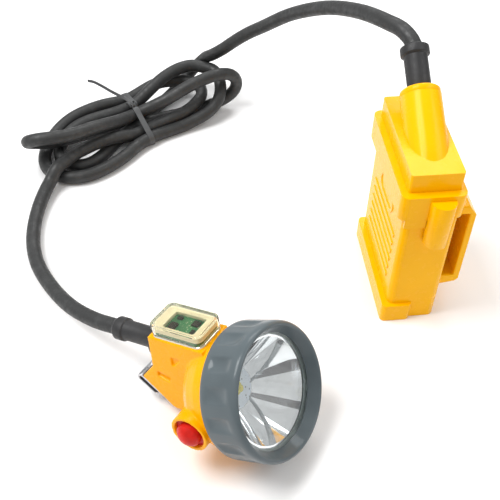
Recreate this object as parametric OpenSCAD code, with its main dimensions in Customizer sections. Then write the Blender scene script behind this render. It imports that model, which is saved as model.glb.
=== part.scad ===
// Miner's cap lamp: battery box, corded headpiece and a tied hank of cord.
// Millimetres, +Z up, floor at z = 0, origin at the centre of the battery base.

/* [Battery] */
// Length of the battery lid from front to back
lid_length = 77; // [74:0.5:90]
// Thickness of the battery lid from left to right
lid_thick = 36; // [35:0.5:42]
// Height of the lid's flat flange above the floor
lid_top = 101; // [98:0.5:115]
// Wall of the battery case
case_wall = 2.4; // [2:0.1:3]
// Height of the raised block on the lid
block_height = 12; // [10:0.5:16]
// Lean of the cord tower from upright
tower_lean = 58; // [54:1:62]
// Outer radius of the cord tower
tower_radius = 11.5; // [11:0.1:13]
// Height of the guard bar round the foot of the case
guard_height = 13.4; // [8:0.2:18]

/* [Belt loop] */
// Height of the slot that the belt goes through
belt_slot_height = 50; // [40:1:52]
// Gap between the case and the bar of the loop
belt_slot_gap = 9; // [6:0.5:12]
// Thickness of the bar of the loop
belt_bar = 4; // [3:0.5:6]
// Length of the loop along the case
belt_loop_length = 60; // [40:1:64]

/* [Headpiece] */
// Outer radius of the bezel
bezel_radius = 36.2; // [35.6:0.1:38]
// Depth of the bezel along the lamp's axis
bezel_depth = 23.4; // [22:0.1:25]
// Number of shallow grip notches round the bezel
bezel_grips = 15; // [10:1:20]
// Thickness of the front glass
glass_thick = 3; // [2.5:0.1:3.2]
// Radius of the opening at the deep end of the reflector
reflector_throat = 11; // [9:0.5:12]
// Radius of the red button's dome
button_radius = 6.6; // [6:0.1:7]

/* [Headpiece pose] */
// Bearing of the lamp's axis on the floor
lamp_bearing = -34; // [-40:1:-28]
// Rise of the lamp's axis above the floor
lamp_rise = 30.5; // [29:0.5:31]
// Roll of the headpiece about the lamp's axis
lamp_roll = 6.5; // [5:0.5:7]

/* [Helmet hook] */
// Gap between the fixed leg and the free blade
hook_gap = 2.8; // [2:0.1:3]
// Width of the hook
hook_width = 24; // [18:0.5:24]
// Length of the free blade
hook_length = 16; // [12:0.5:16.5]

/* [Cord] */
// Diameter of the cord
cord_diameter = 9.2; // [8:0.1:10]
// Length of the tied hank
hank_length = 184; // [175:1:190]
// Width of the tied hank
hank_width = 74; // [68:1:78]
// Height of the tied hank
hank_height = 40; // [36:1:44]

/* [Hidden] */
$fn = 64;
running_gap = 0.08;

// Battery case
case_left = -14;
case_right = 16.5;
case_half = 36.6;
case_height = lid_top - 13;
case_corner = 4;
case_mid = (case_left + case_right) / 2;
guard_left = -17.3;
guard_right = 0.8;
guard_half = 39;
rib_height = 0.6;
rib_width = 2.4;
rib_length = 50;
rib_pitch = 6.5;
rib_first = 26;
rib_count = 6;
plate_centre_z = 72;

// Lid
skirt_bottom = lid_top - 16;
panel_bottom = lid_top - 22;
lid_roof = 2.5;
gasket_thick = 1;
block_left = -14;
block_right = 15.2;
block_front = -33.8;
block_back = 35.2;
block_top = lid_top + block_height;
block_wall = 2.5;

// Tongues that hang over the narrow faces of the case
tongue_x = 4.8;
tongue_radius = 7;
tongue_bottom = 68;
tongue_top = lid_top - 3;
pin_z = 76;
pin_radius = 2.5;

// Cord tower: the centre of its open end, and its bore
tower_end = [1.3, 21, lid_top + 26];
tower_length = 45;
tower_bore = 9;
nut_height = 4;
nut_radius = tower_radius - 0.2;
nut_bore = 7;
spigot_radius = 8.9;
spigot_length = 8;

// Cells and board in the case
cell_thick = 12.2;
cell_half = 32.2;
cell_bottom = 6;
cell_top = 70;
cell_gap = 0.9;
board_z = 74;
board_thick = 1.6;
board_half = 30;

// Sleeves round the cord
cord_r = cord_diameter / 2;
sleeve_r_battery = 6.7;
collar_r_battery = 8.2;
sleeve_r_lamp = 5.8;
collar_r_lamp = 6.7;
flange_r_lamp = 9;
flange_root = 0.6;

// Headpiece: local z is the lamp's axis with 0 at the bezel's front rim,
// local y points to the window, local x points away from the button
lamp_ground_x = -89.1;
lamp_ground_y = -114.08;
bowl_rest = 2.45;
bezel_lift = bezel_depth * sin(lamp_rise) + bezel_radius * cos(lamp_rise) + bowl_rest;
lip_radius = 34.3;
glass_front = -6.25;
glass_radius = 32;
glass_back = glass_front - glass_thick;
seal_thick = 1.5;
seal_back = glass_back - seal_thick;
collar_front = seal_back - 1.6;
collar_radius = 33.2;
bowl_wall = 2.4;
thread_radius = collar_radius + running_gap;
reflector_rim = 27.6;
led_plane = -31;

// Neck of the headpiece
neck_half_top = 11.3;
neck_half_base = 13.5;
neck_top_y = 42;
neck_base_y = -6;
window_tilt = 15.4;
window_length = 33;
window_width = 21.2;
window_height = 7;
window_wall = 1.6;
seat_depth = 0.9;
window_centre = [0, 38.05, -45.4];
base_angle = 57;
base_start = [0, 15, -82];
sleeve_start = [0, 30.3, -67];

// Button and its boss
boss_y = -1;
boss_z = -38;
boss_radius = 10.8;
boss_face = -35.5;
boss_bore = 8.8;
button_stem = 4;

// Hook: pad, fixed leg, gap and free blade lie one behind another, out from the neck's base
hook_pad_thick = 0.6;
hook_leg = 1.5;
hook_blade = 1.2;
hook_leg_length = 21;
hook_inner = hook_pad_thick + hook_leg;
hook_outer = hook_inner + hook_gap + hook_blade;
screw_head_radius = 2.7;
screw_head_height = 0.8;
screw_radius = 1.45;

// Cord route points
lamp_route = [
    [-144.6, -72.7, 38.5],
    [-159.3, -62.1, 33.6],
    [-173.9, -51.5, 28.7],
    [-187.3, -40.6, 22.9],
    [-203.2, -22.6, 15.5],
    [-218, 1.8, 8.9],
    [-228, 25, 5.6],
    [-232, 47, 4.8],
    [-231, 72, 5],
    [-225, 96, 7],
    [-214, 119, 10]
];
battery_route = [
    [1.3, 6.5, 118],
    [1.3, 25, 129.5],
    [1.3, 43.5, 141],
    [-3, 54.5, 144],
    [-9, 66, 142.5],
    [-14, 79, 139],
    [-19, 93, 134],
    [-27.5, 115, 124],
    [-36.5, 134, 113],
    [-51, 158, 95],
    [-67, 177, 75],
    [-77, 186.5, 64],
    [-86, 193, 54],
    [-95, 198, 44],
    [-104, 205, 34]
];
tube_sides = 12;
wire_radius = 0.9;
wire_sides = 8;
route_steps = 3;
hank_centre = [-167, 156];
hank_bearing = 24.6;
tie_width = 3;
tie_thick = 1;

// ---------- shared shapes ----------

// Plate outline with round corners, centred
module round_rect(w, h, r) {
    square([w - 2 * r, h], center = true);
    square([w, h - 2 * r], center = true);
    for (sx = [-1, 1])
        for (sy = [-1, 1])
            translate([sx * (w / 2 - r), sy * (h / 2 - r)])
                circle(r = r);
}

// Upright block with round vertical corners between two x, y and z limits
module round_block(x0, x1, y0, y1, z0, z1, r) {
    translate([(x0 + x1) / 2, (y0 + y1) / 2, z0])
        linear_extrude(height = z1 - z0)
            round_rect(x1 - x0, y1 - y0, r);
}

// Plain block between two x, y and z limits
module block(x0, x1, y0, y1, z0, z1) {
    translate([x0, y0, z0])
        cube([x1 - x0, y1 - y0, z1 - z0]);
}

// Tower frame: +Z runs along the tower and out of its open end
module at_tower() {
    translate(tower_end)
        rotate([-tower_lean, 0, 0])
            children();
}

// Headpiece frame
module at_head() {
    translate([lamp_ground_x, lamp_ground_y, bezel_lift])
        rotate([0, 90 - lamp_rise, lamp_bearing])
            rotate([0, 0, 90 - lamp_roll])
                children();
}

// Profile in the headpiece's side plane: [z, y] points spread over a width in x
module side_profile(width, points) {
    rotate([0, -90, 0])
        translate([0, 0, -width / 2])
            linear_extrude(height = width)
                polygon(points);
}

// Frame of the window: z along its length, y out through it
module at_window() {
    translate(window_centre)
        rotate([window_tilt, 0, 0])
            children();
}

// Frame of the neck's base: z down along the base, -y out of it
module at_base() {
    translate(base_start)
        rotate([base_angle, 0, 0])
            children();
}

// Frame of the lamp's cord entry: z out along the cord
module at_entry() {
    translate(sleeve_start)
        rotate([180 + window_tilt, 0, 0])
            children();
}

// Frame of the button: z out of the boss, 0 at the boss's face
module at_button() {
    translate([boss_face, boss_y, boss_z])
        rotate([0, -90, 0])
            children();
}

// ---------- battery ----------

module case_cavity(z0, z1, inset) {
    round_block(case_left + inset, case_right - inset, -case_half + inset, case_half - inset,
        z0, z1, case_corner - inset / 2);
}

module face_ribs() {
    for (i = [0 : rib_count - 1])
        block(case_left - rib_height, case_left + 1, -rib_length / 2, rib_length / 2,
            rib_first + i * rib_pitch, rib_first + i * rib_pitch + rib_width);
    translate([case_left + 1, 0, plate_centre_z])
        rotate([0, -90, 0])
            linear_extrude(height = 1 + rib_height)
                difference() {
                    round_rect(13, 30, 6.4);
                    round_rect(9, 26, 4.4);
                }
}

module battery_case() {
    color([0.95, 0.72, 0.05])
        difference() {
            union() {
                round_block(case_left, case_right, -case_half, case_half, 0, case_height, case_corner);
                round_block(guard_left, guard_right, -guard_half, guard_half, 0, guard_height, 3);
                face_ribs();
            }
            case_cavity(case_wall, case_height + 1, case_wall);
            for (s = [-1, 1])
                translate([tongue_x, s * case_half, pin_z])
                    rotate([90, 0, 0])
                        cylinder(r = pin_radius, h = 8, center = true);
        }
}

module belt_loop() {
    outer_x = case_right + belt_slot_gap + belt_bar;
    inner_x = case_right + belt_slot_gap;
    slot_low = 28.5;
    slot_high = slot_low + belt_slot_height;
    arm = 6;
    color([0.95, 0.72, 0.05])
        translate([0, belt_loop_length / 2, 0])
            rotate([90, 0, 0])
                linear_extrude(height = belt_loop_length)
                    difference() {
                        polygon([
                            [case_right, slot_low - arm - 2],
                            [outer_x - 2, slot_low - arm],
                            [outer_x, slot_low - arm + 2],
                            [outer_x, slot_high - 1],
                            [inner_x - 1, slot_high + arm],
                            [case_right, slot_high + arm]
                        ]);
                        translate([case_right - 1, slot_low])
                            square([belt_slot_gap + 1, belt_slot_height]);
                    }
}

module tongue(s) {
    intersection() {
        translate([tongue_x, s * lid_length / 2, tongue_bottom])
            cylinder(r = tongue_radius, h = tongue_top - tongue_bottom);
        block(-20, 20, s > 0 ? case_half + 0.2 : -60, s > 0 ? 60 : -case_half - 0.2, 0, 120);
    }
}

module battery_lid() {
    color([0.97, 0.75, 0.05])
        difference() {
            union() {
                round_block(-lid_thick / 2, lid_thick / 2, -lid_length / 2, lid_length / 2,
                    skirt_bottom, lid_top, 4.5);
                block(-14.5, -2.5, -lid_length / 2, -case_half - 0.2, panel_bottom, skirt_bottom + 1);
                round_block(block_left, block_right, block_front, block_back, lid_top - 1, block_top, 1.5);
                tongue(-1);
                tongue(1);
                at_tower()
                    translate([0, 0, -tower_length])
                        cylinder(r = tower_radius, h = tower_length - nut_height);
            }
            case_cavity(skirt_bottom - 1, case_height + gasket_thick, -0.15);
            round_block(case_left + case_wall, case_right - case_wall, -case_half + case_wall,
                case_half - case_wall, skirt_bottom - 1, lid_top - lid_roof, 3);
            round_block(block_left + block_wall, block_right - block_wall, block_front + block_wall,
                block_back - block_wall, lid_top - lid_roof - 1, block_top - block_wall, 1);
            at_tower()
                translate([0, 0, -30])
                    cylinder(r = tower_bore, h = 31);
            for (s = [-1, 1])
                translate([tongue_x, s * (case_half + 1), pin_z])
                    rotate([90, 0, 0])
                        cylinder(r = pin_radius, h = 9, center = true);
        }
}

module lid_gasket() {
    color([0.12, 0.12, 0.12])
        difference() {
            case_cavity(case_height, case_height + gasket_thick, 0);
            case_cavity(case_height - 1, case_height + gasket_thick + 1, case_wall);
        }
}

module lock_pins() {
    color([0.7, 0.7, 0.72])
        for (s = [-1, 1])
            translate([tongue_x, s * (case_half + 1), pin_z])
                rotate([90, 0, 0])
                    cylinder(r = pin_radius - 0.05, h = 7.6, center = true);
}

module cell_pack() {
    color([0.25, 0.4, 0.7])
        for (s = [-1, 1])
            translate([case_mid + s * (cell_thick + cell_gap) / 2, 0, (cell_bottom + cell_top) / 2])
                cube([cell_thick, 2 * cell_half, cell_top - cell_bottom], center = true);
}

module cell_pad() {
    color([0.2, 0.2, 0.22])
        block(case_left + case_wall + 0.4, case_right - case_wall - 0.4, -cell_half, cell_half,
            case_wall, cell_bottom);
}

module cell_tabs() {
    color([0.8, 0.8, 0.8])
        for (s = [-1, 1])
            for (t = [-1, 1])
                translate([case_mid + s * (cell_thick + cell_gap) / 2, t * 20, (cell_top + board_z) / 2])
                    cube([4, 0.5, board_z - cell_top], center = true);
}

module protection_board() {
    color([0.1, 0.4, 0.2])
        translate([case_mid, 0, board_z + board_thick / 2])
            cube([22, 2 * board_half, board_thick], center = true);
}

module protection_parts() {
    color([0.1, 0.1, 0.1]) {
        block(-5, 0, 8, 13, board_z + board_thick, board_z + board_thick + 1.8);
        block(-5, 0, 16, 21, board_z + board_thick, board_z + board_thick + 1.8);
        block(3, 7, -22, -17, board_z + board_thick, board_z + board_thick + 1.2);
        block(-6, 4, -12, -8, board_z + board_thick, board_z + board_thick + 3);
    }
}

module battery_wires() {
    color([0.7, 0.1, 0.1])
        for (s = [-1, 1]) {
            low = [1.3 + s * 2, -2, board_z + board_thick + 0.6];
            mid = [1.3 + s * 2, -8, lid_top - 4];
            high = tower_end - 18.3 * [0, sin(tower_lean), cos(tower_lean)] + [s * 2, 0, 0];
            swept_tube([low, mid, high], wire_radius, wire_sides);
        }
}

module tower_nut() {
    color([0.97, 0.75, 0.05])
        at_tower()
            rotate_extrude()
                polygon([
                    [nut_bore, -nut_height - spigot_length],
                    [spigot_radius, -nut_height - spigot_length],
                    [spigot_radius, -nut_height],
                    [nut_radius, -nut_height],
                    [nut_radius, -1.2],
                    [nut_radius - 1.2, 0],
                    [nut_bore, 0]
                ]);
}

module tower_seal() {
    color([0.1, 0.1, 0.1])
        at_tower()
            translate([0, 0, -nut_height - spigot_length - 6])
                difference() {
                    cylinder(r = spigot_radius, h = 6);
                    translate([0, 0, -1])
                        cylinder(r = cord_r + 0.02, h = 8);
                }
}

// Rubber sleeve along +Z with a wall flange at its root and a collar near its tip
module sleeve(root, body_r, collar_r, collar_at, collar_h, tip) {
    rotate_extrude()
        polygon([
            [cord_r + 0.02, root],
            [body_r, root],
            [body_r, collar_at],
            [collar_r, collar_at + 0.8],
            [collar_r, collar_at + collar_h - 0.8],
            [body_r, collar_at + collar_h],
            [cord_r + 0.5, tip],
            [cord_r + 0.02, tip]
        ]);
}

module battery_sleeve() {
    color([0.15, 0.15, 0.16])
        at_tower()
            sleeve(-nut_height - spigot_length, sleeve_r_battery, collar_r_battery, 19.5, 6, 26.5);
}

// ---------- cord ----------

// Point at parameter t on a smooth curve through four neighbouring route points
function curve_point(a, b, c, d, t) =
    0.5 * (2 * b + (c - a) * t + (2 * a - 5 * b + 4 * c - d) * t * t + (3 * b - a - 3 * c + d) * t * t * t);

function route_point(p, i) = p[min(max(i, 0), len(p) - 1)];

// Centreline points with a few steps between each pair of route points
function route_line(p) = [
    for (i = [0 : len(p) - 2])
        for (k = [0 : route_steps - 1])
            curve_point(route_point(p, i - 1), p[i], p[i + 1], route_point(p, i + 2), k / route_steps),
    p[len(p) - 1]
];

function unit(v) = v / norm(v);

function line_heading(q, i) = unit(q[min(i + 1, len(q) - 1)] - q[max(i - 1, 0)]);

// Ring of points round one centreline point, square to the heading
function ring_at(q, i, r, sides) = let (
    d = line_heading(q, i),
    side = unit(cross([1, 0.3, 0.2], d)),
    up = cross(d, side)
) [
    for (k = [0 : sides - 1])
        q[i] + r * (cos(360 * k / sides) * side + sin(360 * k / sides) * up)
];

// Closed tube swept along a centreline
module swept_tube(q, r, sides) {
    n = len(q);
    points = [for (i = [0 : n - 1]) each ring_at(q, i, r, sides)];
    walls = [
        for (i = [0 : n - 2])
            for (k = [0 : sides - 1])
                let (j = (k + 1) % sides, a = i * sides, b = (i + 1) * sides)
                each [[a + k, b + k, b + j], [a + k, b + j, a + j]]
    ];
    first = [for (k = [0 : sides - 1]) k];
    last = [for (k = [sides - 1 : -1 : 0]) (n - 1) * sides + k];
    polyhedron(points = points, faces = concat([first], walls, [last]), convexity = 6);
}

module battery_lead() {
    color([0.2, 0.2, 0.21])
        swept_tube(route_line(battery_route), cord_r, tube_sides);
}

module lamp_lead() {
    color([0.2, 0.2, 0.21])
        swept_tube(route_line(lamp_route), cord_r, tube_sides);
}

module at_hank() {
    translate([hank_centre[0], hank_centre[1], 0])
        rotate([0, 0, hank_bearing])
            children();
}

module cord_bundle() {
    color([0.2, 0.2, 0.21])
        at_hank()
            linear_extrude(height = hank_height)
                round_rect(hank_length, hank_width, hank_width / 2 - 1);
}

module twist_tie() {
    color([0.12, 0.12, 0.12])
        at_hank()
            difference() {
                translate([0, 0, (hank_height + tie_thick) / 2])
                    cube([tie_width, hank_width + 2 * tie_thick, hank_height + tie_thick], center = true);
                translate([0, 0, hank_height / 2 - 0.5])
                    cube([tie_width + 1, hank_width, hank_height + 1], center = true);
            }
}

// ---------- headpiece ----------

// Outline of the bowl behind the bezel: [radius, z]
bowl_outline = [
    [0, -52],
    [12, -51.2],
    [20, -48.6],
    [26, -44.4],
    [30, -38.5],
    [32.2, -31.5],
    [33, bowl_back_z()],
    [collar_radius, bowl_back_z()],
    [collar_radius, collar_front],
    [0, collar_front]
];

function bowl_back_z() = -bezel_depth - 0.4;

bowl_inside = [
    [0, -49.4],
    [11.5, -48.6],
    [18.6, -46.2],
    [24, -42.6],
    [27.6, -37.4],
    [29.4, -31],
    [29.4, collar_front + 1],
    [0, collar_front + 1]
];

neck_side = [
    [-28.5, 32.6],
    [-63, 41.8],
    [-70, 22.5],
    [-76.5, 18.5],
    [-82, 15],
    [-69, -5],
    [-46, -14],
    [-28.5, -14]
];

neck_cavity_side = [
    [-32, 30.8],
    [-60.5, 38.4],
    [-67, 22],
    [-72, 17],
    [-67, 9],
    [-62, -0.5],
    [-44, -9],
    [-32, -9]
];

module neck_taper(extra) {
    translate([0, 0, -90])
        linear_extrude(height = 90)
            polygon([
                [-neck_half_base - extra, -20],
                [neck_half_base + extra, -20],
                [neck_half_base + extra, neck_base_y],
                [neck_half_top + extra, neck_top_y],
                [neck_half_top + extra, 60],
                [-neck_half_top - extra, 60],
                [-neck_half_top - extra, neck_top_y],
                [-neck_half_base - extra, neck_base_y]
            ]);
}

module neck_solid() {
    intersection() {
        side_profile(2 * neck_half_base, neck_side);
        neck_taper(0);
    }
}

// Moulded recesses in the neck's two side faces
module neck_recesses() {
    for (s = [-1, 1]) {
        translate([s * (neck_half_top + 1.6), 0, 0])
            side_profile(4, [[-53, 28.6], [-47, 27.2], [-54.6, 22.4]]);
        translate([s * (neck_half_base - 0.4), 0, 0])
            side_profile(4, [[-68, 19.2], [-60.5, 15.4], [-62.8, 12], [-69.6, 16]]);
    }
}

module head_shell() {
    color([0.95, 0.66, 0.05])
        at_head()
            difference() {
                union() {
                    rotate_extrude()
                        polygon(bowl_outline);
                    neck_solid();
                    at_button()
                        translate([0, 0, -22])
                            cylinder(r = boss_radius, h = 22);
                }
                rotate_extrude()
                    polygon(bowl_inside);
                intersection() {
                    side_profile(2 * neck_half_base, neck_cavity_side);
                    neck_taper(-bowl_wall);
                }
                at_window()
                    translate([0, -1.5, 0])
                        cube([window_width - 5, 8, window_length - 6], center = true);
                at_window()
                    translate([0, -seat_depth, 0])
                        rotate([-90, 0, 0])
                            linear_extrude(height = 4)
                                round_rect(window_width, window_length, 4);
                at_entry()
                    translate([0, 0, -12])
                        cylinder(r = sleeve_r_lamp, h = 20);
                at_entry()
                    translate([0, 0, flange_root])
                        cylinder(r = flange_r_lamp + running_gap, h = 6);
                at_button()
                    translate([0, 0, -7])
                        cylinder(r = boss_bore, h = 8);
                at_button()
                    translate([0, 0, -20])
                        cylinder(r = button_stem + running_gap, h = 20);
                neck_recesses();
                at_base()
                    for (z = hook_screw_z())
                        translate([0, -1, z])
                            rotate([-90, 0, 0])
                                cylinder(r = 1.5, h = 4.5);
            }
}

function hook_screw_z() = [6, 15];

module lamp_sleeve() {
    color([0.15, 0.15, 0.16])
        at_head()
            at_entry() {
                sleeve(-4, sleeve_r_lamp, collar_r_lamp, 25, 7, 33.5);
                difference() {
                    translate([0, 0, flange_root])
                        cylinder(r = flange_r_lamp, h = 3);
                    translate([0, 0, -1])
                        cylinder(r = sleeve_r_lamp - 0.5, h = 6);
                }
            }
}

// Blade outline with a tapered, blunt tip: x across, y along the base
module blade_outline(w, length) {
    polygon([
        [-w / 2, 0],
        [w / 2, 0],
        [w / 2, length - 5],
        [w / 2 - 5, length],
        [-w / 2 + 5, length],
        [-w / 2, length - 5]
    ]);
}

// Flat strip of the hook between two depths out of the neck's base
module hook_strip(inner, outer, length) {
    translate([0, -inner, 0])
        rotate([90, 0, 0])
            linear_extrude(height = outer - inner)
                blade_outline(hook_width, length);
}

module hook_plate() {
    bend_radius = (hook_outer - hook_pad_thick) / 2;
    color([0.75, 0.76, 0.78])
        at_head()
            at_base()
                difference() {
                    union() {
                        hook_strip(hook_pad_thick, hook_inner, hook_leg_length);
                        hook_strip(hook_outer - hook_blade, hook_outer, hook_length);
                        translate([0, -hook_pad_thick - bend_radius, 0])
                            rotate([0, 90, 0])
                                intersection() {
                                    cylinder(r = bend_radius, h = hook_width, center = true);
                                    translate([bend_radius, 0, 0])
                                        cube([2 * bend_radius, 3 * bend_radius, hook_width + 1], center = true);
                                }
                    }
                    translate([0, -hook_inner - hook_gap / 2, 0])
                        rotate([0, 90, 0])
                            cylinder(r = hook_gap / 2, h = hook_width + 2, center = true);
                    for (z = hook_screw_z())
                        translate([0, -hook_inner, z])
                            rotate([-90, 0, 0]) {
                                translate([0, 0, -1])
                                    cylinder(r = screw_head_radius + 0.05, h = 1 + screw_head_height);
                                cylinder(r = screw_radius + 0.15, h = hook_inner + 1);
                            }
                }
}

module hook_pad() {
    color([0.05, 0.05, 0.05])
        at_head()
            at_base()
                difference() {
                    hook_strip(0, hook_pad_thick, hook_leg_length);
                    for (z = hook_screw_z())
                        translate([0, -hook_pad_thick - 1, z])
                            rotate([-90, 0, 0])
                                cylinder(r = screw_radius + 0.15, h = hook_pad_thick + 2);
                }
}

module hook_screws() {
    color([0.6, 0.6, 0.62])
        at_head()
            at_base()
                for (z = hook_screw_z())
                    translate([0, -hook_inner, z])
                        rotate([-90, 0, 0]) {
                            cylinder(r = screw_head_radius, h = screw_head_height);
                            cylinder(r = screw_radius, h = hook_inner + 3.2);
                        }
}

module window_cover() {
    color([0.95, 0.93, 0.8, 0.5])
        at_head()
            at_window()
                difference() {
                    rotate([-90, 0, 0])
                        linear_extrude(height = window_height)
                            round_rect(window_width, window_length, 4);
                    translate([0, -1, 0])
                        rotate([-90, 0, 0])
                            linear_extrude(height = window_height - window_wall + 1)
                                round_rect(window_width - 2 * window_wall, window_length - 2 * window_wall, 3);
                }
}

module window_gasket() {
    color([0.1, 0.1, 0.1])
        at_head()
            at_window()
                translate([0, -seat_depth, 0])
                    rotate([-90, 0, 0])
                        linear_extrude(height = seat_depth)
                            difference() {
                                round_rect(window_width - 0.4, window_length - 0.4, 3.8);
                                round_rect(window_width - 5, window_length - 6, 2);
                            }
}

module status_board() {
    color([0.1, 0.45, 0.25])
        at_head()
            at_window()
                translate([0, 0.9, 0])
                    cube([window_width - 2 * window_wall - 1, 1.6, window_length - 2 * window_wall - 3], center = true);
}

module status_parts() {
    color([0.1, 0.1, 0.1])
        at_head()
            at_window() {
                translate([-3, 2.4, -6])
                    cube([5, 1.4, 4], center = true);
                translate([3, 2.2, 5])
                    cube([4, 1, 4], center = true);
                translate([-3.5, 2.3, 7])
                    cube([3, 1.2, 2], center = true);
                translate([4, 2.3, -6])
                    cube([2, 1.2, 3], center = true);
            }
}

module heat_sink() {
    color([0.75, 0.76, 0.78])
        at_head()
            translate([0, 0, led_plane - 5.6])
                cylinder(r = 19.8, h = 4);
}

module led_board() {
    color([0.93, 0.93, 0.9])
        at_head()
            translate([0, 0, led_plane - 1.6])
                cylinder(r = 14, h = 1.6);
}

module main_led() {
    color([0.9, 0.8, 0.2])
        at_head() {
            translate([0, 0, led_plane + 0.5])
                cube([5, 5, 1], center = true);
            translate([0, 0, led_plane + 1])
                intersection() {
                    sphere(r = 2.3);
                    cylinder(r = 3, h = 3);
                }
        }
}

module reflector() {
    color([0.85, 0.86, 0.88])
        at_head()
            rotate_extrude()
                polygon([
                    [reflector_rim, seal_back + 1.2],
                    [reflector_rim + 1, seal_back + 1.2],
                    [reflector_rim + 1, collar_front + 1.4],
                    [31.8, collar_front + 1.4],
                    [31.8, collar_front],
                    [reflector_rim + 0.6, collar_front],
                    [reflector_throat + 1.6, led_plane + 0.1],
                    [reflector_throat, led_plane + 0.1]
                ]);
}

module switch_body() {
    color([0.15, 0.15, 0.16])
        at_head()
            at_button()
                translate([0, 0, -15.5])
                    cylinder(r = 3.4, h = 4);
}

module switch_spring() {
    color([0.7, 0.7, 0.72])
        at_head()
            at_button()
                translate([0, 0, -6.9])
                    difference() {
                        cylinder(r = 6.2, h = 3.2);
                        translate([0, 0, -1])
                            cylinder(r = 5, h = 6);
                    }
}

module switch_button() {
    color([0.85, 0.08, 0.06])
        at_head()
            at_button() {
                translate([0, 0, -3.6])
                    cylinder(r = boss_bore - running_gap, h = 1.6);
                translate([0, 0, -2.1])
                    cylinder(r = button_radius, h = 3.2);
                translate([0, 0, 1])
                    intersection() {
                        translate([0, 0, -4])
                            sphere(r = sqrt(button_radius * button_radius + 16));
                        cylinder(r = button_radius, h = 6);
                    }
                translate([0, 0, -9.4])
                    cylinder(r = button_stem, h = 6);
            }
}

module head_wires() {
    color([0.7, 0.1, 0.1])
        at_head()
            for (s = [-1, 1])
                swept_tube([
                    [s * 2, 29.2, -63],
                    [s * 2, 26.5, -56],
                    [s * 3, 16, -47],
                    [s * 6, 4, led_plane - 6.4]
                ], wire_radius, wire_sides);
}

module lens_glass() {
    color([0.85, 0.9, 0.92, 0.4])
        at_head()
            translate([0, 0, glass_back])
                cylinder(r = glass_radius, h = glass_thick);
}

module lens_gasket() {
    color([0.1, 0.1, 0.1])
        at_head()
            translate([0, 0, seal_back])
                difference() {
                    cylinder(r = glass_radius, h = seal_thick);
                    translate([0, 0, -1])
                        cylinder(r = reflector_rim + 1.3, h = seal_thick + 2);
                }
}

module bezel_ring() {
    color([0.42, 0.46, 0.5])
        at_head()
            difference() {
                rotate_extrude()
                    polygon([
                        [thread_radius, -bezel_depth],
                        [bezel_radius - 0.8, -bezel_depth],
                        [bezel_radius, -bezel_depth + 1],
                        [bezel_radius, -1.6],
                        [bezel_radius - 1, 0],
                        [lip_radius, 0],
                        [29.7, glass_front + 0.05],
                        [glass_radius + 0.1, glass_front + 0.05],
                        [glass_radius + 0.1, collar_front + 1],
                        [thread_radius, collar_front + 0.2]
                    ]);
                for (i = [0 : bezel_grips - 1])
                    rotate([0, 0, 360 * i / bezel_grips])
                        translate([bezel_radius + 0.4, 0, -13])
                            cube([1.8, 2.4, 9], center = true);
            }
}

battery_case();
belt_loop();
battery_lid();
lid_gasket();
lock_pins();
cell_pack();
cell_pad();
cell_tabs();
protection_board();
protection_parts();
battery_wires();
tower_nut();
tower_seal();
battery_sleeve();
battery_lead();
cord_bundle();
twist_tie();
lamp_lead();
lamp_sleeve();
head_shell();
hook_plate();
hook_pad();
hook_screws();
window_cover();
window_gasket();
status_board();
status_parts();
heat_sink();
led_board();
main_led();
reflector();
switch_body();
switch_spring();
switch_button();
head_wires();
lens_glass();
lens_gasket();
bezel_ring();
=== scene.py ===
"""Miner's cap lamp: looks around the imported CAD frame. Metres, +Z up, origin at the battery's base."""
import math

import bpy
import numpy as np
from mathutils import Matrix, Vector


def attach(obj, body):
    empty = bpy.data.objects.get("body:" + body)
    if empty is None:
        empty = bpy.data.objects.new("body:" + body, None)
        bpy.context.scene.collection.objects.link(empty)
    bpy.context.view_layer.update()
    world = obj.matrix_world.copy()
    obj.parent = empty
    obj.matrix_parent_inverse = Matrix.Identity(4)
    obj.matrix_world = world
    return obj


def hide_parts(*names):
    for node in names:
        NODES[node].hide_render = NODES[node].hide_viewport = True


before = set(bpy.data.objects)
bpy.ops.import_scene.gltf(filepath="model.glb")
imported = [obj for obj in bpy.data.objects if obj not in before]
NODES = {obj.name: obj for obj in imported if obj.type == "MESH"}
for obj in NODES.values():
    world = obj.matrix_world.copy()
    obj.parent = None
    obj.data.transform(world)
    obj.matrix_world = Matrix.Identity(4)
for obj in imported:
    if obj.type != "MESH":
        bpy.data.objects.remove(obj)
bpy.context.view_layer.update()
MM = 0.001
scene = bpy.context.scene

TINY = 1e-9

# ---------------------------------------------------------------- camera

CAMERA_AT = (-0.13316, -0.34253, 0.39333)
CAMERA_PITCH = math.radians(46.534)
CAMERA_YAW = math.radians(6.589)
CAMERA_ROLL = math.radians(1.085)
CAMERA_LENS = 59.07
CAMERA_SENSOR = 36
CAMERA_NEAR = 0.01


def make_camera():
    """The camera that was fitted to the photograph's view, as a place and three turns."""
    forward = Vector((
        math.sin(CAMERA_YAW) * math.cos(CAMERA_PITCH),
        math.cos(CAMERA_YAW) * math.cos(CAMERA_PITCH),
        -math.sin(CAMERA_PITCH),
    ))
    level = Vector((math.cos(CAMERA_YAW), -math.sin(CAMERA_YAW), 0))
    above = level.cross(forward)
    right = math.cos(CAMERA_ROLL) * level + math.sin(CAMERA_ROLL) * above
    up = math.cos(CAMERA_ROLL) * above - math.sin(CAMERA_ROLL) * level
    data = bpy.data.cameras.new("camera")
    data.lens = CAMERA_LENS
    data.sensor_width = CAMERA_SENSOR
    data.clip_start = CAMERA_NEAR
    camera = bpy.data.objects.new("camera", data)
    turn = Matrix((right, up, -forward)).transposed().to_4x4()
    camera.matrix_world = Matrix.Translation(CAMERA_AT) @ turn
    scene.collection.objects.link(camera)
    scene.camera = camera


make_camera()

# ---------------------------------------------------------------- small tools


def add_object(name, data):
    obj = bpy.data.objects.new(name, data)
    scene.collection.objects.link(obj)
    return obj


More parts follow.
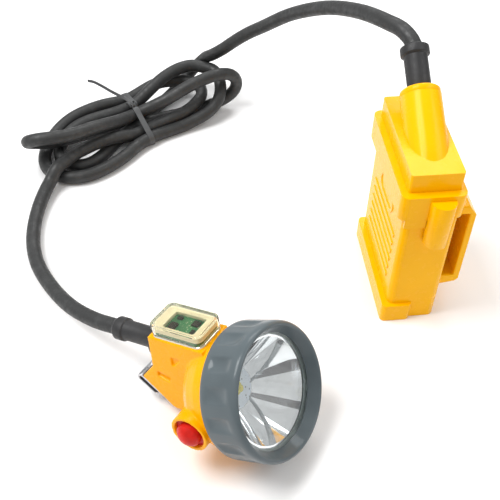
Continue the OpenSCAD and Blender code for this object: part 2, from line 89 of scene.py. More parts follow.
def mesh_object(name, points, faces, smooth=True):
    mesh = bpy.data.meshes.new(name)
    mesh.from_pydata([tuple(p) for p in points], [], faces)
    mesh.update()
    mesh.shade_smooth() if smooth else mesh.shade_flat()
    return add_object(name, mesh)


def smooth_line(points, steps):
    """Points on a centripetal Catmull-Rom curve through the given ones."""
    p = np.asarray(points, float)
    p = np.vstack([2 * p[0] - p[1], p, 2 * p[-1] - p[-2]])
    out = []
    for a, b, c, d in zip(p[:-3], p[1:-2], p[2:-1], p[3:]):
        ta = 0.0
        tb = ta + max(np.linalg.norm(b - a), TINY) ** 0.5
        tc = tb + max(np.linalg.norm(c - b), TINY) ** 0.5
        td = tc + max(np.linalg.norm(d - c), TINY) ** 0.5
        for t in np.linspace(tb, tc, steps, endpoint=False):
            ab = (tb - t) / (tb - ta) * a + (t - ta) / (tb - ta) * b
            bc = (tc - t) / (tc - tb) * b + (t - tb) / (tc - tb) * c
            cd = (td - t) / (td - tc) * c + (t - tc) / (td - tc) * d
            abc = (tc - t) / (tc - ta) * ab + (t - ta) / (tc - ta) * bc
            bcd = (td - t) / (td - tb) * bc + (t - tb) / (td - tb) * cd
            out.append((tc - t) / (tc - tb) * abc + (t - tb) / (tc - tb) * bcd)
    out.append(p[-2])
    return np.array(out)


def even_line(line, count):
    """The same line with count points at equal distances."""
    along = np.concatenate([[0], np.cumsum(np.linalg.norm(np.diff(line, axis=0), axis=1))])
    at = np.linspace(0, along[-1], count)
    return np.column_stack([np.interp(at, along, line[:, k]) for k in range(3)])


def line_length(line):
    return float(np.linalg.norm(np.diff(line, axis=0), axis=1).sum())


# ---------------------------------------------------------------- cord

CORD_D = 9.2 * MM
CORD_R = CORD_D / 2

CORD_SIDES = 20

# The part's own route at each end, in millimetres, from the battery and from the lamp
BATTERY_ROUTE = [
    (1.3, 6.5, 118), (1.3, 25, 129.5), (1.3, 43.5, 141), (-3, 54.5, 144), (-9, 66, 142.5),
    (-14, 79, 139), (-19, 93, 134), (-27.5, 115, 124), (-36.5, 134, 113), (-51, 158, 95),
    (-67, 177, 75), (-77, 186.5, 64), (-86, 193, 54), (-95, 198, 44), (-104, 205, 34),
]
LAMP_ROUTE = [
    (-144.6, -72.7, 38.5), (-159.3, -62.1, 33.6), (-173.9, -51.5, 28.7), (-187.3, -40.6, 22.9),
    (-203.2, -22.6, 15.5), (-218, 1.8, 8.9), (-228, 25, 5.6), (-232, 47, 4.8), (-231, 72, 5),
    (-225, 96, 7),
]

# The hank, from the battery's end to the lamp's: u along it, v across it and z up, in millimetres
HANK_MID = Vector((-164, 167, 0))
HANK_BEARING = math.radians(24.6)
HANK_ROUTE = [
    (64, 22, 20), (55, 24, 10), (42, 19, 5), (28, 11, 4.8), (14, 5, 4.8), (0, 2, 5.7),
    (-15, 1.5, 5), (-29, -1, 7), (-42, -4, 11), (-53, -7, 14), (-64, -8, 16), (-74, -7, 17.5),
    (-82, -6, 20), (-87, -10, 25), (-86, -16, 30), (-80, -21, 33), (-72, -24, 33), (-58, -25, 31),
    (-42, -21, 28),
    (-26, -16, 23), (-12, -9, 17), (0, -3, 13),
    (12, -8, 19), (25, -12, 25), (38, -13, 30), (52, -14, 33), (65, -15, 34), (75, -16, 31),
    (80, -16, 23), (78, -15, 14), (69, -13, 8), (56, -11, 5), (42, -10, 4.8), (28, -10, 4.8),
    (14, -9, 4.8), (0, -8, 5.7),
    (-14, -11, 4.8), (-28, -19, 4.8), (-41, -27, 4.8), (-53, -30, 4.8), (-63, -24, 5), (-66, -11, 5.5),
    (-58, 1, 8), (-45, 6, 12), (-30, 7, 13), (-15, 6, 13), (0, 6.8, 13),
    (14, 9, 19), (30, 13, 25), (46, 16, 27), (60, 14, 27), (70, 4, 26), (69, -9, 21), (61, -20, 14),
    (46, -24, 8), (30, -22, 6), (15, -20.5, 5), (0, -21.5, 5.7),
    (-18, -31.5, 4.8), (-38, -39, 4.8), (-56, -41, 4.8), (-70, -36, 4.8), (-78, -25, 4.8), (-78, -12, 5),
    (-70, 2, 6.5), (-58, 12, 9), (-45, 17, 12), (-30, 18, 14), (-15, 18, 14), (0, 17, 12.5),
    (13, 18, 15), (28, 20, 17), (41, 18, 16), (52, 12, 16), (57, 2, 15), (53, -8, 14), (43, -14, 12),
    (30, -16, 9), (15, -15, 6), (0, -15.2, 5.7),
    (-10, -18.5, 7), (-20, -20, 11), (-34, -22, 14.5), (-48, -24, 15), (-62, -27, 14.5), (-74, -32, 11),
]

# How the turns settle: gaps in cord diameters, pulls as a share of the way in each round
SETTLE_ROUNDS = 260
SETTLE_SPACING = 3 * MM
NEIGHBOURS = 2.2
TURN_GAP = 1.01
FLOOR_GAP = 1.005
PUSH = 1.2
BEND_PULL = 0.05
STIFF_PULL = 0.25
HOME_PULL = 0.03

# The ends of the cord that stay as the part has them, and the steps of the curve through the points
HELD_BY_BATTERY = 0.235
HELD_BY_LAMP = 0.215
ROUTE_STEPS = 8
SETTLED_STEPS = 3
LINE_SPACING = 2 * MM


def hank_point(u, v, z):
    c, s = math.cos(HANK_BEARING), math.sin(HANK_BEARING)
    return (HANK_MID.x + u * c - v * s, HANK_MID.y + u * s + v * c, z)


def settle(line, rounds, held_start, held_end):
    """Pushes the cord's own turns apart, off the floor and smooth, as a stiff cord lies."""
    n = len(line)
    step = line_length(line) / (n - 1)
    apart = int(NEIGHBOURS * CORD_D / step)
    turn_gap = CORD_D * TURN_GAP
    index = np.arange(n)
    far = np.abs(index[:, None] - index[None, :]) > apart
    free = np.ones(n)
    free[:held_start] = 0
    free[n - held_end:] = 0
    home = line.copy()
    for _ in range(rounds):
        move = np.zeros_like(line)
        gap = line[:, None, :] - line[None, :, :]
        dist = np.linalg.norm(gap, axis=2)
        close = far & (dist < turn_gap)
        push = np.where(close, (turn_gap - dist) * 0.5, 0)
        count = np.maximum(close.sum(1), 1)
        away = gap / np.maximum(dist, 1e-6)[..., None]
        move += (away * push[..., None]).sum(1) / count[:, None] * PUSH
        bend = np.zeros_like(line)
        bend[1:-1] = (line[:-2] + line[2:]) / 2 - line[1:-1]
        move += BEND_PULL * bend
        stiff = np.zeros_like(line)
        stiff[2:-2] = (4 * (line[1:-3] + line[3:-1]) - line[:-4] - line[4:]) / 6 - line[2:-2]
        move += STIFF_PULL * stiff
        move += HOME_PULL * (home - line)
        line = line + move * free[:, None]
        line[:, 2] = np.maximum(line[:, 2], CORD_R * FLOOR_GAP)
    return line


def cord_line():
    """The cord's centreline, from the battery's tower through the hank to the lamp."""
    hank = [hank_point(*p) for p in HANK_ROUTE]
    points = np.array(BATTERY_ROUTE + hank + LAMP_ROUTE[::-1]) * MM
    line = smooth_line(points, ROUTE_STEPS)
    length = line_length(line)
    count = int(length / SETTLE_SPACING)
    line = even_line(line, count)
    held_start = int(HELD_BY_BATTERY / length * count)
    held_end = int(HELD_BY_LAMP / length * count)
    line = settle(line, SETTLE_ROUNDS, held_start, held_end)
    return even_line(smooth_line(line, SETTLED_STEPS), int(length / LINE_SPACING))


CORD_LINE = cord_line()


def tube(name, line, radius, sides):
    """A closed tube along a line, its rings turned as little as possible from one to the next."""
    line = np.asarray(line, float)
    ways = np.gradient(line, axis=0)
    ways /= np.linalg.norm(ways, axis=1)[:, None]
    side = np.cross(ways[0], (0.0, 0.0, 1.0))
    points, faces = [], []
    for at, way in zip(line, ways):
        side = side - way * (side @ way)
        side /= np.linalg.norm(side)
        other = np.cross(way, side)
        for k in range(sides):
            a = 2 * math.pi * k / sides
            points.append(at + radius * (math.cos(a) * side + math.sin(a) * other))
    for i in range(len(line) - 1):
        for k in range(sides):
            a, b = i * sides + k, i * sides + (k + 1) % sides
            faces.append((a, b, b + sides, a + sides))
    last = (len(line) - 1) * sides
    faces.append(tuple(reversed(range(sides))))
    faces.append(tuple(range(last, last + sides)))
    return mesh_object(name, points, faces)


cord = tube("cord", CORD_LINE, CORD_R, CORD_SIDES)
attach(cord, "lamp_set")
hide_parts("battery_lead", "cord_bundle", "lamp_lead")

# ---------------------------------------------------------------- tie round the hank

TIE_WIDTH = 2.6 * MM
TIE_THICK = 0.8 * MM
TIE_EDGE = 0.3
TIE_TURNS = 2
TIE_SPREAD = 3.2
TIE_WAVE = 0.15
TIE_WAVE_STEP = 0.21
TIE_OFF_FLOOR = 0.6
TIE_POINTS = 96
TIE_REACH = 60 * MM
CIRCLE_POINTS = 40

KNOT_ACROSS = 0.5
KNOT_LIFT = 1.6
KNOT_POINTS = 60
KNOT_TURNS = 2.6
KNOT_SIZE = (6.8, 2.1, 1.6)
KNOT_WIRE = 0.75 * MM
KNOT_SIDES = 8

# The loose end, from the knot: along the hank, across it and up, in millimetres
TAIL_ROUTE = [
    (0.5, -2.5, 0.2), (-1, 1.5, 1.8), (-4, 7, 3.2), (-9, 14, 5.2), (-14, 22, 7.6), (-18, 28, 9),
    (-21, 32, 8.6),
]
TAIL_WIDTH = 2.2 * MM
TAIL_STEPS = 6
TAIL_SPIN = 0.5
TAIL_TWIST = 1.1


def ribbon(name, path, across, outward, width, thick):
    """A flat strip along a path, with its own width and facing directions at each point."""
    points, faces = [], []
    for at, side, out in zip(path, across, outward):
        for w, t in ((-1, -1), (1, -1), (1, 1), (-1, 1)):
            points.append(at + side * w * width / 2 + out * t * thick / 2)
    for i in range(len(path) - 1):
        for k in range(4):
            a, b = i * 4 + k, i * 4 + (k + 1) % 4
            faces.append((a, b, b + 4, a + 4))
    faces.append((3, 2, 1, 0))
    last = (len(path) - 1) * 4
    faces.append((last, last + 1, last + 2, last + 3))
    strip = mesh_object(name, points, faces, smooth=False)
    round_edges(strip, thick * TIE_EDGE, 2)
    return strip


def round_edges(obj, width, segments, angle=35):
    """A bevel modifier on the edges that turn by more than an angle."""
    bevel = obj.modifiers.new("edges", "BEVEL")
    bevel.width = width
    bevel.segments = segments
    bevel.limit_method = "ANGLE"
    bevel.angle_limit = math.radians(angle)
    bevel.harden_normals = True
    bevel.use_clamp_overlap = True
    return bevel


def outline_round(centres, radius):
    """Convex outline round circles of one radius, as evenly spaced 2-D points."""
    turn = np.linspace(0, 2 * math.pi, CIRCLE_POINTS, endpoint=False)
    ring = np.column_stack([np.cos(turn), np.sin(turn)]) * radius
    cloud = sorted(map(tuple, np.concatenate([c + ring for c in centres])))

    def turns_in(a, b, c):
        return np.cross(np.subtract(b, a), np.subtract(c, a)) <= 0

    def half(points):
        chain = []
        for p in points:
            while len(chain) > 1 and turns_in(chain[-2], chain[-1], p):
                chain.pop()
            chain.append(p)
        return chain[:-1]

    hull = np.array(half(cloud) + half(cloud[::-1]))
    closed = np.vstack([hull, hull[:1]])
    flat = np.column_stack([closed, np.zeros(len(closed))])
    return even_line(flat, TIE_POINTS + 1)[:-1, :2]


def hank_axes():
    """Unit vectors along the hank, across it and up."""
    c, s = math.cos(HANK_BEARING), math.sin(HANK_BEARING)
    return np.array((c, s, 0)), np.array((-s, c, 0)), np.array((0, 0, 1.0))


def tie_outline(along, across):
    """The band's outline round the strands at the hank's middle, from the knot on."""
    local = CORD_LINE - np.array(HANK_MID) * MM
    u, v = local @ along, local @ across
    cross = [k for k in range(len(u) - 1) if u[k] * u[k + 1] <= 0 and abs(v[k]) < TIE_REACH]
    centres = [np.array((v[k], CORD_LINE[k][2])) for k in cross]
    outline = outline_round(centres, CORD_R + TIE_THICK * 0.55)
    upper = np.where(outline[:, 1] > outline.mean(0)[1], 0, 1)
    top = int(np.argmin(np.abs(outline[:, 0] - KNOT_ACROSS * MM) + upper))
    return np.roll(outline, -top, axis=0)


def make_band(outline, along, across, up):
    """The tie's band, wound side by side round the hank; also its first point and outward way."""
    middle = outline.mean(0)
    path, outs = [], []
    count = len(outline)
    steps = TIE_TURNS * count
    for k in range(steps + 1):
        ahead, behind = outline[(k + 1) % count], outline[(k - 1) % count]
        tangent = (ahead - behind) / np.linalg.norm(ahead - behind)
        normal = np.array((tangent[1], -tangent[0]))
        if normal @ (outline[k % count] - middle) < 0:
            normal = -normal
        shift = (k / steps - 0.5) * TIE_SPREAD * MM
        flat = outline[k % count] + normal * TIE_WAVE * MM * math.sin(k * TIE_WAVE_STEP)
        flat[1] = max(flat[1], TIE_THICK * TIE_OFF_FLOOR)
        path.append(np.array(HANK_MID) * MM + along * shift + across * flat[0] + up * flat[1])
        outs.append(across * normal[0] + up * normal[1])
    band = ribbon("tie_band", path, [along] * len(path), outs, TIE_WIDTH, TIE_THICK)
    return band, path[0], outs[0]


def make_tail(knot_at, along, across, up):
    """The tie's loose end, which turns about itself as it rises."""
    base = [knot_at + (along * a + across * b + up * h) * MM for a, b, h in TAIL_ROUTE]
    tail = smooth_line(base, TAIL_STEPS)
    ways = np.gradient(tail, axis=0)
    ways /= np.linalg.norm(ways, axis=1)[:, None]
    sides, outs = [], []
    for k, way in enumerate(ways):
        spin = TAIL_SPIN + TAIL_TWIST * k / len(ways)
        first = np.cross(way, up)
        first /= np.linalg.norm(first)
        second = np.cross(first, way)
        sides.append(math.cos(spin) * first + math.sin(spin) * second)
        outs.append(math.cos(spin) * second - math.sin(spin) * first)
    return ribbon("tie_tail", tail, sides, outs, TAIL_WIDTH, TIE_THICK)


def make_knot(knot_at, along, across, up):
    """The tie's twisted knot, as a short helix along the hank."""
    long, wide, high = KNOT_SIZE
    coil = []
    for k in range(KNOT_POINTS):
        part = k / (KNOT_POINTS - 1)
        turn = part * KNOT_TURNS * 2 * math.pi
        ring = across * wide * math.cos(turn) + up * high * math.sin(turn)
        coil.append(knot_at + (ring + along * (part - 0.5) * long) * MM)
    return tube("tie_knot", coil, KNOT_WIRE, KNOT_SIDES)


def make_tie():
    """The tie round the hank, as band, loose end and knot."""
    axes = hank_axes()
    band, first, out = make_band(tie_outline(*axes[:2]), *axes)
    knot_at = first + out * KNOT_LIFT * MM
    parts = (band, make_tail(knot_at, *axes), make_knot(knot_at, *axes))
    for piece in parts:
        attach(piece, "lamp_set")
    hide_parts("twist_tie")
    return parts


TIE = make_tie()

# ---------------------------------------------------------------- headpiece pieces

# The headpiece's own frame in the part, and the window's place and tilt in it
HEAD_AT = Vector((-89.1, -114.08, 45.517)) * MM
HEAD_X = Vector((0.603231, 0.79158, -0.097539))
HEAD_Y = Vector((-0.354761, 0.375837, 0.85609))
HEAD_Z = Vector((0.714323, -0.481817, 0.507538))
WINDOW_AT = Vector((0, 38.05, -45.4))
WINDOW_TILT = math.radians(15.4)


def head_point(x, y, z):
    """A point of the headpiece's frame, given in millimetres."""
    return HEAD_AT + (HEAD_X * x + HEAD_Y * y + HEAD_Z * z) * MM


def window_point(x, y, z):
    """A point of the window's frame, given in millimetres: y is up off the status board."""
    c, s = math.cos(WINDOW_TILT), math.sin(WINDOW_TILT)
    return head_point(WINDOW_AT.x + x, WINDOW_AT.y + y * c - z * s, WINDOW_AT.z + y * s + z * c)


# Radius and depth round the bezel's section, in millimetres
BEZEL_PROFILE = [
    (33.28, -23.4), (35.3, -23.4), (35.85, -23.1), (36.15, -22.5), (36.2, -21.6), (36.2, -20.4),
    (36.2, -19.2), (36.2, -18), (36.2, -16.5), (36.2, -15), (36.2, -13.5), (36.2, -12), (36.2, -10.5),
    (36.2, -9), (36.2, -7.8), (36.2, -6.6), (36.2, -5.4), (36.2, -3.8), (36.1, -2.6), (35.8, -1.5),
    (35.3, -0.7), (34.7, -0.2), (34.1, 0), (33.5, -0.2), (33, -0.8), (29.9, -5.8), (29.75, -6.05),
    (29.9, -6.2), (32.1, -6.2), (32.1, -11.35), (33.28, -12.15),
]
BEZEL_STEPS = 360
BEZEL_SPLIT = 40
GRIP_COUNT = 15
GRIP_DEPTH = 1.6
GRIP_BACK = -19.6
GRIP_FRONT = -6.2
GRIP_FROM = 35


def grip_cut(angle, z):
    """Depth of the shallow scallops round the bezel at an angle and a depth."""
    if z < GRIP_BACK or z > GRIP_FRONT:
        return 0
    across = max(0, math.cos(GRIP_COUNT * angle) + 0.1) / 1.1
    along = math.sin(math.pi * (z - GRIP_BACK) / (GRIP_FRONT - GRIP_BACK))
    return GRIP_DEPTH * across ** 0.55 * along ** 0.5


def make_bezel():
    """The bezel with its rounded lip and scalloped grips, over the part's plainer ring."""
    steps, rows = BEZEL_STEPS, len(BEZEL_PROFILE)
    points, faces = [], []
    for k in range(steps):
        angle = 2 * math.pi * k / steps
        for r, z in BEZEL_PROFILE:
            if r > GRIP_FROM:
                r -= grip_cut(angle, z)
            points.append(head_point(r * math.cos(angle), r * math.sin(angle), z))
    for k in range(steps):
        for j in range(rows):
            a, b = k * rows + j, k * rows + (j + 1) % rows
            c, d = ((k + 1) % steps) * rows + (j + 1) % rows, ((k + 1) % steps) * rows + j
            faces.append((a, d, c, b))
    piece = mesh_object("bezel", points, faces)
    sharp = piece.modifiers.new("split", "EDGE_SPLIT")
    sharp.split_angle = math.radians(BEZEL_SPLIT)
    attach(piece, "bezel")
    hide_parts("bezel_ring")
    return piece


# The frosted frame: width, length and corner radius outside and inside, then its heights
LINER_OUTER = (17.4, 29.2, 2.6)
LINER_INNER = (13, 20, 1.2)
LINER_FOOT = 2.0
LINER_OUTER_TOP = 4.6
LINER_INNER_TOP = 3.9


def rounded_outline(width, length, radius, steps=8):
    """A rectangle with round corners, as points in order."""
    out = []
    for sx, sz, start in ((1, 1, 0), (-1, 1, 90), (-1, -1, 180), (1, -1, 270)):
        for k in range(steps + 1):
            a = math.radians(start + 90 * k / steps)
            out.append((sx * (width / 2 - radius) + radius * math.cos(a),
                        sz * (length / 2 - radius) + radius * math.sin(a)))
    return out


def make_window_liner():
    """Frosted frame between the status board and the clear cover."""
    outer = rounded_outline(*LINER_OUTER)
    inner = rounded_outline(*LINER_INNER)
    count = len(outer)
    points, faces = [], []
    rings = (
        (outer, LINER_FOOT), (outer, LINER_OUTER_TOP), (inner, LINER_INNER_TOP), (inner, LINER_FOOT),
    )
    for ring, y in rings:
        points += [window_point(x, y, z) for x, z in ring]
    for r in range(4):
        for k in range(count):
            a, b = r * count + k, r * count + (k + 1) % count
            c, d = ((r + 1) % 4) * count + (k + 1) % count, ((r + 1) % 4) * count + k
            faces.append((a, b, c, d))
    piece = mesh_object("window_liner", points, faces, smooth=False)
    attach(piece, "lamp_set")
    return piece


BEZEL = make_bezel()
LINER = make_window_liner()

# ---------------------------------------------------------------- materials


class Shader:
    """A Principled material with its noise, bump and ramps built step by step."""

    def __init__(self, name, color, rough, metallic=0.0, coat=0.0, coat_rough=0.08,
                 specular=0.5, ior=1.5):
        self.material = bpy.data.materials.new(name)
        self.material.use_nodes = True
        self.tree = self.material.node_tree
        self.main = self.tree.nodes["Principled BSDF"]
        self.color = color
        self.set("Base Color", (*color, 1))
        self.set("Roughness", rough)
        self.set("Metallic", metallic)
        self.set("Coat Weight", coat)
        self.set("Coat Roughness", coat_rough)
        self.set("Specular IOR Level", specular)
        self.set("IOR", ior)
        self.height = None
        self.place = self.tree.nodes.new("ShaderNodeTexCoord").outputs["Object"]

    def set(self, socket, value):
        self.main.inputs[socket].default_value = value

    def node(self, kind, **inputs):
        made = self.tree.nodes.new(kind)
        for key, value in inputs.items():
            made.inputs[key.replace("_", " ")].default_value = value
        return made

    def link(self, a, b):
        self.tree.links.new(a, b)

    def noise(self, scale, detail=3.0, rough=0.55, stretch=None):
        """Noise in the object's own coordinates; scale is in cells per metre."""
        made = self.node("ShaderNodeTexNoise", Scale=scale, Detail=detail, Roughness=rough)
        if stretch:
            mapping = self.node("ShaderNodeMapping", Scale=stretch)
            self.link(self.place, mapping.inputs["Vector"])
            self.link(mapping.outputs["Vector"], made.inputs["Vector"])
        else:
            self.link(self.place, made.inputs["Vector"])
        return made.outputs["Fac"]

    def ramp(self, fac, low, high, start=0.35, end=0.65):
        """Stretches the range start to end of a value to low to high."""
        made = self.tree.nodes.new("ShaderNodeMapRange")
        self.link(fac, made.inputs["Value"])
        for key, value in (("From Min", start), ("From Max", end), ("To Min", low), ("To Max", high)):
            made.inputs[key].default_value = value
        return made.outputs["Result"]

    def vary_color(self, fac, darker, lighter):
        """Runs the colour between a darker and a lighter share of itself."""
        mix = self.tree.nodes.new("ShaderNodeMix")
        mix.data_type = "RGBA"
        self.link(fac, mix.inputs["Factor"])
        mix.inputs["A"].default_value = (*[c * darker for c in self.color], 1)
        mix.inputs["B"].default_value = (*[min(1, c * lighter) for c in self.color], 1)
        self.link(mix.outputs["Result"], self.main.inputs["Base Color"])
        return mix

    def vary_rough(self, fac, low, high):
        self.link(self.ramp(fac, low, high), self.main.inputs["Roughness"])

    def bump(self, fac, strength, distance):
        made = self.node("ShaderNodeBump", Strength=strength, Distance=distance)
        self.link(fac, made.inputs["Height"])
        if self.height:
            self.link(self.height, made.inputs["Normal"])
        self.height = made.outputs["Normal"]
        self.link(self.height, self.main.inputs["Normal"])


def moulded(name, color, rough, coat=0.25, dark=0.92, light=1.04, flow_scale=45.0):
    """Moulded plastic: faint flow variation, fine surface orange peel and a soft coat."""
    m = Shader(name, color, rough, coat=coat, coat_rough=0.1, specular=0.22)
    slow = m.noise(flow_scale, 2.0)
    m.vary_color(m.ramp(slow, 0, 1, 0.3, 0.7), dark, light)
    m.vary_rough(m.noise(260, 3.0), rough * 0.85, rough * 1.2)
    m.set("Specular Tint", (*[0.35 + 0.65 * c for c in color], 1))
    m.bump(m.noise(500, 2.0), 0.04, 0.0001)
    m.bump(m.noise(3000, 2.0), 0.03, 0.00002)
    return m.material


def rubbery(name, color, rough, grain=0.1):
    """Matte rubber or soft plastic, with a fine grain in two sizes."""
    m = Shader(name, color, rough, specular=0.42)
    m.vary_color(m.ramp(m.noise(70, 3.0), 0, 1, 0.3, 0.7), 0.75, 1.35)
    m.vary_rough(m.noise(400, 4.0), rough * 0.85, min(1, rough * 1.15))
    m.bump(m.noise(1500, 3.0), grain, 0.00018)
    m.bump(m.noise(7000, 2.0), grain, 0.00005)
    return m.material


def cord_jacket():
    """Black sheath: matte extruded rubber with faint scuffs and dust."""
    m = Shader("cord_sheath", (0.026, 0.027, 0.027), 0.46, specular=0.5)
    scuff = m.ramp(m.noise(120, 5.0, 0.65), 0, 1, 0.5, 0.75)
    m.vary_color(scuff, 0.8, 1.5)
    m.vary_rough(m.noise(300, 4.0), 0.42, 0.66)
    m.bump(m.noise(700, 4.0, 0.6), 0.12, 0.0003)
    m.bump(m.noise(5000, 2.0), 0.12, 0.00006)
    return m.material


def metal(name, color, rough, scale=900.0, stretch=(1, 1, 1), strength=0.08):
    """Plated or brushed metal; a stretch across one axis draws the grain out along the others."""
    m = Shader(name, color, rough, metallic=1.0)
    fine = m.noise(scale, 3.0, 0.6, stretch)
    m.vary_rough(fine, rough * 0.75, min(1, rough * 1.35))
    m.vary_color(m.ramp(m.noise(150, 2.0), 0, 1, 0.3, 0.7), 0.92, 1.03)
    m.bump(fine, strength, 0.00008)
    return m.material


def clear(name, color, rough, ior):
    """Clear glass or plastic with faint waves in its surface."""
    m = Shader(name, color, rough, ior=ior)
    m.set("Transmission Weight", 1.0)
    m.bump(m.noise(500, 2.0), 0.02, 0.0001)
    return m.material


def board(name, color, dots, dot_scale):
    """Printed board: lacquered, with pads as raised dots under the lacquer."""
    m = Shader(name, color, 0.35, coat=0.4)
    cells = m.tree.nodes.new("ShaderNodeTexVoronoi")
    cells.inputs["Scale"].default_value = dot_scale
    m.link(m.place, cells.inputs["Vector"])
    mask = m.ramp(cells.outputs["Distance"], 1, 0, 0.18, 0.24)
    mix = m.vary_color(mask, 1.0, 1.0)
    mix.inputs["B"].default_value = (*dots, 1)
    m.bump(mask, 0.25, 0.0001)
    return m.material


YELLOW = moulded("battery_plastic", (1.0, 0.49, 0.0), 0.24, coat=0.06, dark=0.97, light=1.02)
AMBER = moulded("head_plastic", (0.98, 0.42, 0.0), 0.26, coat=0.07, dark=0.96, light=1.02)
GREY = moulded("bezel_plastic", (0.10, 0.122, 0.132), 0.34, coat=0.25, dark=0.9, light=1.1)
PALE = moulded("pale_silicone", (0.72, 0.82, 0.80), 0.35, coat=0.2)
FROST = moulded("frosted_frame", (0.96, 0.94, 0.84), 0.4, coat=0.2)
BLACK_RUBBER = rubbery("boot_rubber", (0.022, 0.022, 0.023), 0.5)
SHEATH = cord_jacket()
TIE_PLASTIC = rubbery("tie_strip", (0.06, 0.062, 0.064), 0.4, grain=0.2)
RED = moulded("button_rubber", (0.62, 0.018, 0.012), 0.42, coat=0.15, dark=0.85, light=1.15,
              flow_scale=200)
STEEL = metal("hook_steel", (0.62, 0.63, 0.65), 0.32, stretch=(1, 1, 12))
ALLOY = metal("sink_alloy", (0.7, 0.71, 0.73), 0.4)
NICKEL = metal("nickel", (0.66, 0.62, 0.55), 0.3)
MIRROR = metal("reflector_mirror", (0.93, 0.94, 0.95), 0.05, scale=500, strength=0.02)
GLASS = clear("front_glass", (0.97, 0.99, 0.99), 0.01, 1.46)
WINDOW = clear("window_plastic", (1.0, 0.955, 0.78), 0.06, 1.42)
GREEN_BOARD = board("status_board_lacquer", (0.02, 0.22, 0.10), (0.6, 0.62, 0.55), 600)
WHITE_BOARD = board("led_board_lacquer", (0.86, 0.93, 1.0), (0.35, 0.38, 0.42), 420)
CHIP = moulded("chip_black", (0.02, 0.02, 0.022), 0.4)
PHOSPHOR = moulded("led_phosphor", (0.86, 0.74, 0.10), 0.25, coat=0.6)
CELL = moulded("cell_wrap", (0.05, 0.16, 0.5), 0.35)
WIRE = moulded("wire_sleeve", (0.5, 0.03, 0.03), 0.4)
FOAM = rubbery("foam_pad", (0.06, 0.06, 0.065), 0.9, grain=0.5)

NODE_MATERIAL = {
    "battery_case": YELLOW, "belt_loop": YELLOW, "battery_lid": YELLOW, "tower_nut": YELLOW,
    "lid_gasket": BLACK_RUBBER, "tower_seal": BLACK_RUBBER, "battery_sleeve": BLACK_RUBBER,
    "lamp_sleeve": BLACK_RUBBER, "hook_pad": BLACK_RUBBER, "window_gasket": PALE, "lens_gasket": PALE,
    "lock_pins": NICKEL, "cell_tabs": NICKEL, "switch_spring": NICKEL,
    "cell_pack": CELL, "cell_pad": FOAM, "protection_board": GREEN_BOARD, "status_board": GREEN_BOARD,
    "protection_parts": CHIP, "status_parts": CHIP, "switch_body": CHIP, "battery_wires": WIRE,
    "head_wires": WIRE, "head_shell": AMBER, "hook_plate": STEEL, "hook_screws": STEEL,
    "window_cover": WINDOW, "heat_sink": ALLOY, "led_board": WHITE_BOARD, "main_led": PHOSPHOR,
    "reflector": MIRROR, "switch_button": RED, "lens_glass": GLASS, "bezel_ring": GREY,
}


def paint(obj, material):
    """Gives a piece one material in place of any that it has."""
    obj.data.materials.clear()
    obj.data.materials.append(material)


for node_name, material in NODE_MATERIAL.items():
    paint(NODES[node_name], material)
paint(cord, SHEATH)
paint(BEZEL, GREY)
paint(LINER, FROST)
for piece in TIE:
    paint(piece, TIE_PLASTIC)


WELD_GAP = 0.00001
FLAT_WITHIN = 1.5


def soften(node, width, segments=3, angle=40):
    """Rounds a CAD node's sharp edges with modifiers; its own mesh stays as it is."""
    obj = NODES[node]
    weld = obj.modifiers.new("weld", "WELD")
    weld.merge_threshold = WELD_GAP
    planar = obj.modifiers.new("planar", "DECIMATE")
    planar.decimate_type = "DISSOLVE"
    planar.angle_limit = math.radians(FLAT_WITHIN)
    round_edges(obj, width, segments, angle)


# Edge radii in millimetres
SOFT_EDGES = {
    "battery_case": 0.9, "belt_loop": 0.9, "battery_lid": 0.9, "tower_nut": 0.4, "hook_plate": 0.2,
    "battery_sleeve": 0.3, "lamp_sleeve": 0.3, "switch_button": 0.3, "window_cover": 0.7,
}
for node_name, width in SOFT_EDGES.items():
    soften(node_name, width * MM)


def melt(node, voxel, rounds, keep):
    """Rounds a CAD node's joins into fillets with modifiers; its own mesh stays as it is."""
    obj = NODES[node]
    remesh = obj.modifiers.new("remesh", "REMESH")
    remesh.mode = "VOXEL"
    remesh.voxel_size = voxel
    remesh.use_smooth_shade = True
    relax = obj.modifiers.new("relax", "SMOOTH")
    relax.factor = 0.5
    relax.iterations = rounds
    fewer = obj.modifiers.new("fewer", "DECIMATE")
    fewer.ratio = keep


melt("head_shell", voxel=0.5 * MM, rounds=4, keep=0.25)

# ---------------------------------------------------------------- floor, light and world


FLOOR_HALF = 3.0
WORLD_STRENGTH = 0.55
MIDDLE = (-0.1, 0.02, 0.05)

# Place, width and height, and watts of each soft light
SOFTBOXES = {
    "key": ((-0.9, 0.1, 1.5), (0.8, 0.8), 24),
    "fill": ((1.2, -0.2, 1.4), (0.9, 0.9), 7),
    "back": ((0.2, 1.3, 1.4), (1.2, 0.6), 12),
}

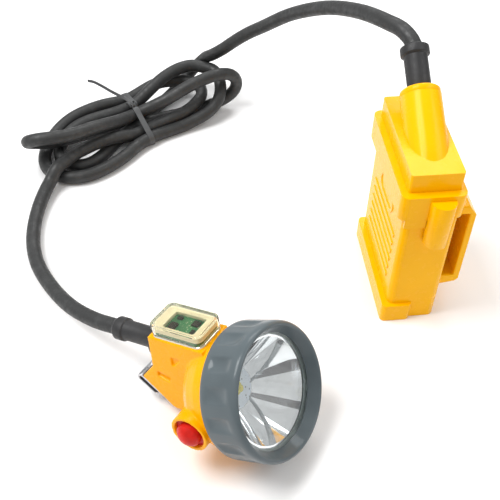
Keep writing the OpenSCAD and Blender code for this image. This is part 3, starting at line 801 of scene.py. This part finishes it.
# Cards round the headpiece's axis: angles, then place and size in metres
CARD_TURNS = (20, 110, 200, 290)
CARD_RADIUS = 0.42
CARD_AHEAD = 0.3
CARD_SIZE = (0.16, 0.5)
CARD_LEAN = (0.6, 0.8)
CORNERS = ((-1, -1), (1, -1), (1, 1), (-1, 1))


def make_floor():
    """The plain pale floor."""
    corners = [(x * FLOOR_HALF, y * FLOOR_HALF, 0) for x, y in CORNERS]
    floor = mesh_object("floor", corners, [(0, 1, 2, 3)], smooth=False)
    m = Shader("floor_white", (0.93, 0.93, 0.93), 0.55)
    m.vary_color(m.ramp(m.noise(6, 2.0), 0, 1, 0.3, 0.7), 0.995, 1.005)
    paint(floor, m.material)


def softbox(name, at, size, watts):
    """A soft rectangular light that faces the middle of the object."""
    data = bpy.data.lights.new(name, "AREA")
    data.shape = "RECTANGLE"
    data.size, data.size_y = size
    data.energy = watts
    lamp = add_object(name, data)
    lamp.location = at
    lamp.rotation_euler = (Vector(MIDDLE) - Vector(at)).to_track_quat("-Z", "Y").to_euler()


def dark_card(turn):
    """A card that only the mirror and the gloss see, for dark bands in the reflector."""
    a = math.radians(turn)
    out = HEAD_X * math.cos(a) + HEAD_Y * math.sin(a)
    side = HEAD_Y * math.cos(a) - HEAD_X * math.sin(a)
    middle = HEAD_AT + out * CARD_RADIUS + HEAD_Z * CARD_AHEAD
    tall = out * CARD_LEAN[0] + HEAD_Z * CARD_LEAN[1]
    width, height = CARD_SIZE
    points = [middle + side * x * width / 2 + tall * y * height / 2 for x, y in CORNERS]
    card = mesh_object("dark_card", points, [(0, 1, 2, 3)], smooth=False)
    m = Shader("card_black", (0.02, 0.02, 0.022), 0.8)
    m.vary_color(m.noise(3), 0.9, 1.1)
    paint(card, m.material)
    card.visible_camera = False
    card.visible_diffuse = False
    card.visible_shadow = False


make_floor()
for light_name, light in SOFTBOXES.items():
    softbox(light_name, *light)
for turn in CARD_TURNS:
    dark_card(turn)

world = bpy.data.worlds.new("studio")
world.use_nodes = True
world.node_tree.nodes["Background"].inputs["Color"].default_value = (1, 1, 1, 1)
world.node_tree.nodes["Background"].inputs["Strength"].default_value = WORLD_STRENGTH
scene.world = world
scene.view_settings.view_transform = "Standard"
